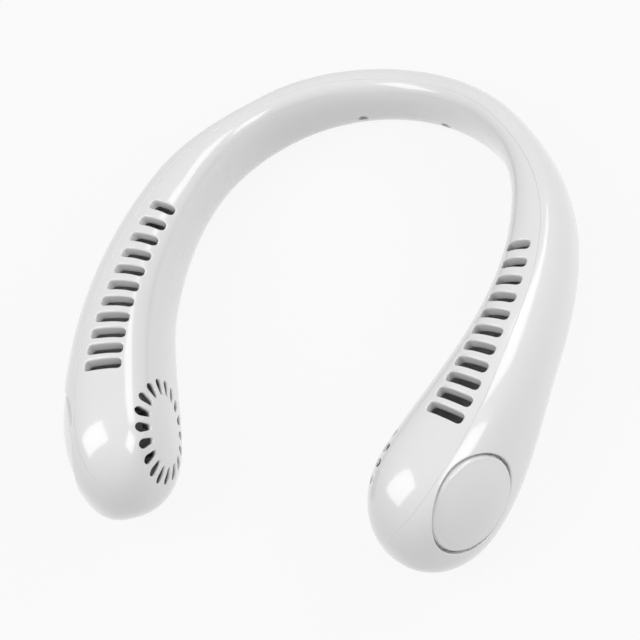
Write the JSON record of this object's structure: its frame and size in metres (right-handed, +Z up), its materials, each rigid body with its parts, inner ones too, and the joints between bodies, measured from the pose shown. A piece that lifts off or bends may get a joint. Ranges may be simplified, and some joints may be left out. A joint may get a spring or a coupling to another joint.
{
  "type": "neck fan",
  "caption": "Horseshoe neck fan with a slim nape band, slotted air arms and bulbous ends that each hold a blower behind a ring of intake slots and a flush round cover.",
  "frame": {"origin": "on the table under the middle of the object's box, as it lies with the outlet slots up", "axes": "+X towards the arm at the right of the picture, +Y from the open end to the nape, +Z up"},
  "size_m": [0.185, 0.2137, 0.0588],
  "materials": {
    "casing": "gloss moulded white",
    "button": "gloss moulded white",
    "wheel": "satin moulded grey",
    "frame": "satin moulded dark grey",
    "steel": "drawn steel",
    "lamination": "stacked sheet",
    "magnet": "sintered",
    "copper": "enamelled winding",
    "foam": "closed-cell foam",
    "cell": "laminated pouch",
    "board": "solder mask",
    "switch": "moulded",
    "plunger": "moulded",
    "lens": "frosted light guide",
    "lead": "insulated wire",
    "screw": "zinc plated"
  },
  "bodies": {
    "case": {"inner_shell": "casing", "outer_shell": "casing", "main_board": "board", "tact_switch": "switch", "indicator_lens": "lens", "usb_socket": "steel", "cross_lead": "lead", "left_motor_lead": "lead", "motor_screws": "screw", "board_screws": "screw", "shell_screws": "screw", "right_motor_frame": "frame", "right_bearings": "steel", "right_stator_core": "lamination", "right_stator_coils": "copper", "right_outer_cover": "casing", "right_inlet_ring": "wheel", "right_duct_seal": "foam", "right_cell": "cell", "left_motor_frame": "frame", "left_bearings": "steel", "left_stator_core": "lamination", "left_stator_coils": "copper", "left_outer_cover": "casing", "left_inlet_ring": "wheel", "left_duct_seal": "foam", "left_cell": "cell"},
    "right_rotor": {"right_impeller": "wheel", "right_rotor_cup": "steel", "right_magnet_ring": "magnet", "right_motor_shaft": "steel"},
    "left_rotor": {"left_impeller": "wheel", "left_rotor_cup": "steel", "left_magnet_ring": "magnet", "left_motor_shaft": "steel"},
    "button": {"power_button": "button", "switch_plunger": "plunger"}
  },
  "joints": [
    {"name": "right_fan_spin", "type": "hinge", "parent": "case", "child": "right_rotor", "pos_m": [0.06589, -0.08145, 0.0352], "axis": [0.9408, -0.3389, 0], "continuous": true},
    {"name": "left_fan_spin", "type": "hinge", "parent": "case", "child": "left_rotor", "pos_m": [-0.06589, -0.08145, 0.0352], "axis": [-0.9408, -0.3389, 0], "continuous": true},
    {"name": "power_button_press", "type": "slide", "parent": "case", "child": "button", "axis": [0.9512, -0.3085, 0], "range_m": [0, 0.0004], "stiffness_N_per_m": 4000, "springref_m": -0.0002}
  ]
}
